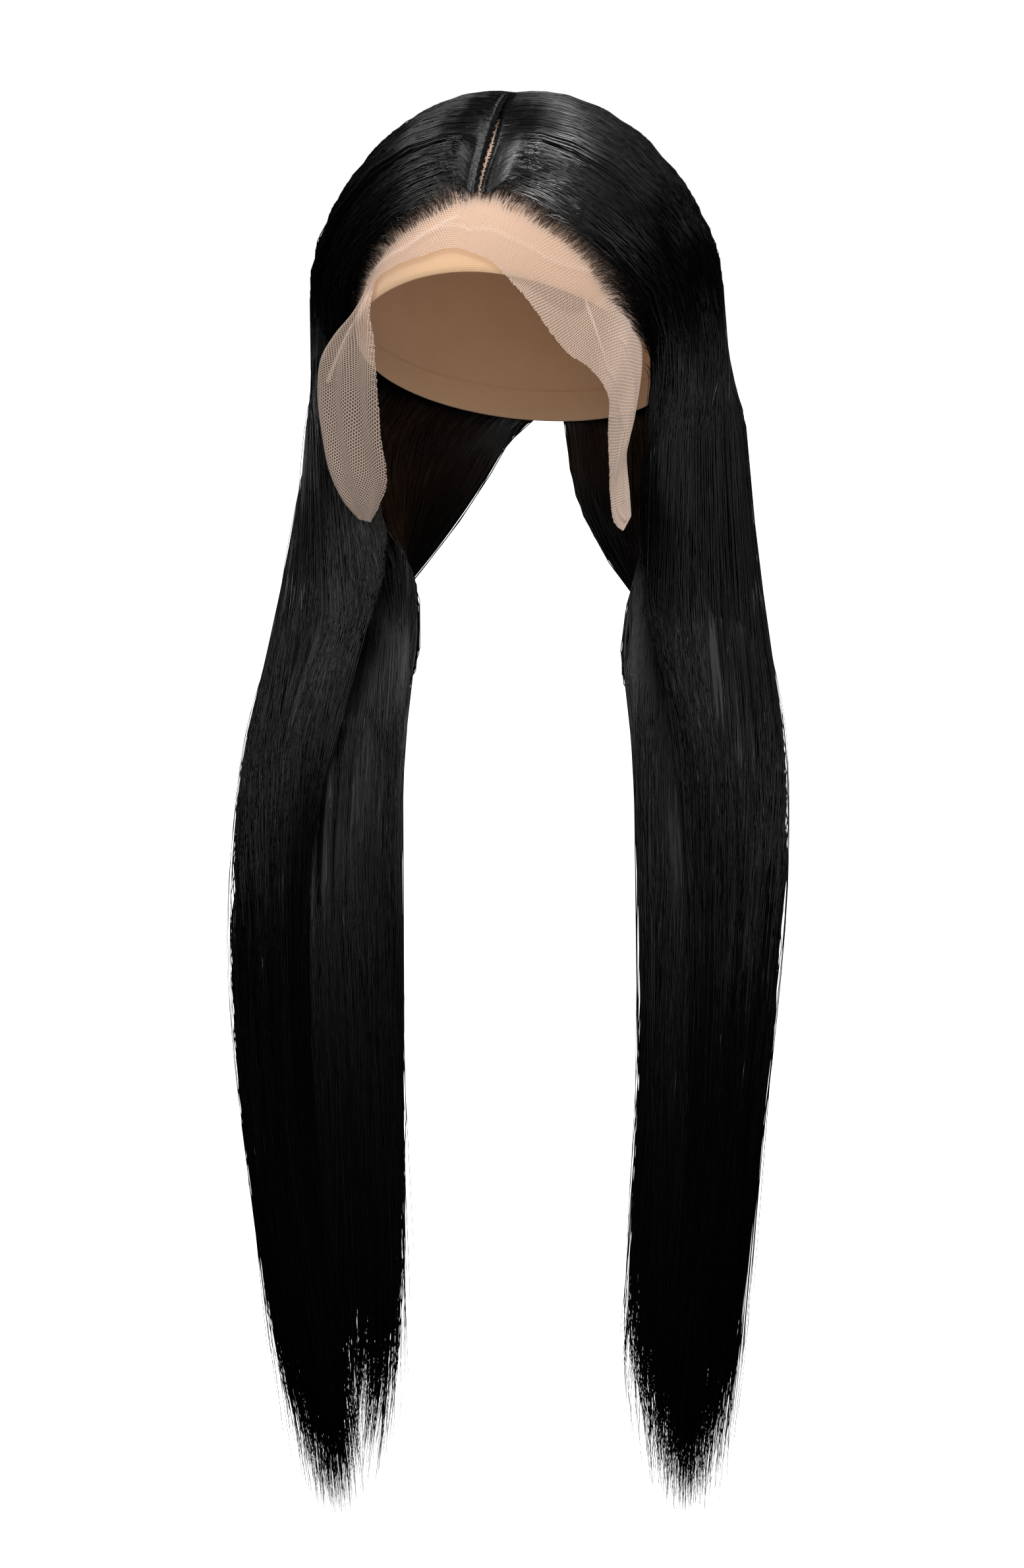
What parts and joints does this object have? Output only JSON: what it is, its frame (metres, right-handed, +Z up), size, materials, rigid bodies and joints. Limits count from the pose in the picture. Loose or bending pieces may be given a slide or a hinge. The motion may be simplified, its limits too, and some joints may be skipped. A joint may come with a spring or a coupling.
{
  "type": "lace front wig",
  "caption": "Long straight black lace front wig with a centre part, worn open over both shoulders, on a stretch cap with an untrimmed lace hairline.",
  "frame": {"origin": "inside of the cap at the crown, where the wearer's head touches it", "axes": "+Z up, the face looks along -Y, the wearer's left is +X"},
  "size_m": [0.2763, 0.2224, 0.7342],
  "materials": {
    "cap_net": "thin tan stretch net, matt",
    "lace": "sheer beige hexagonal net",
    "hair": "straight glossy black hair"
  },
  "bodies": {
    "root": {"wig_cap": "cap_net", "lace_front": "lace", "front_hair_right": "hair", "front_hair_left": "hair", "back_hair_right": "hair", "back_hair_left": "hair"}
  },
  "joints": []
}
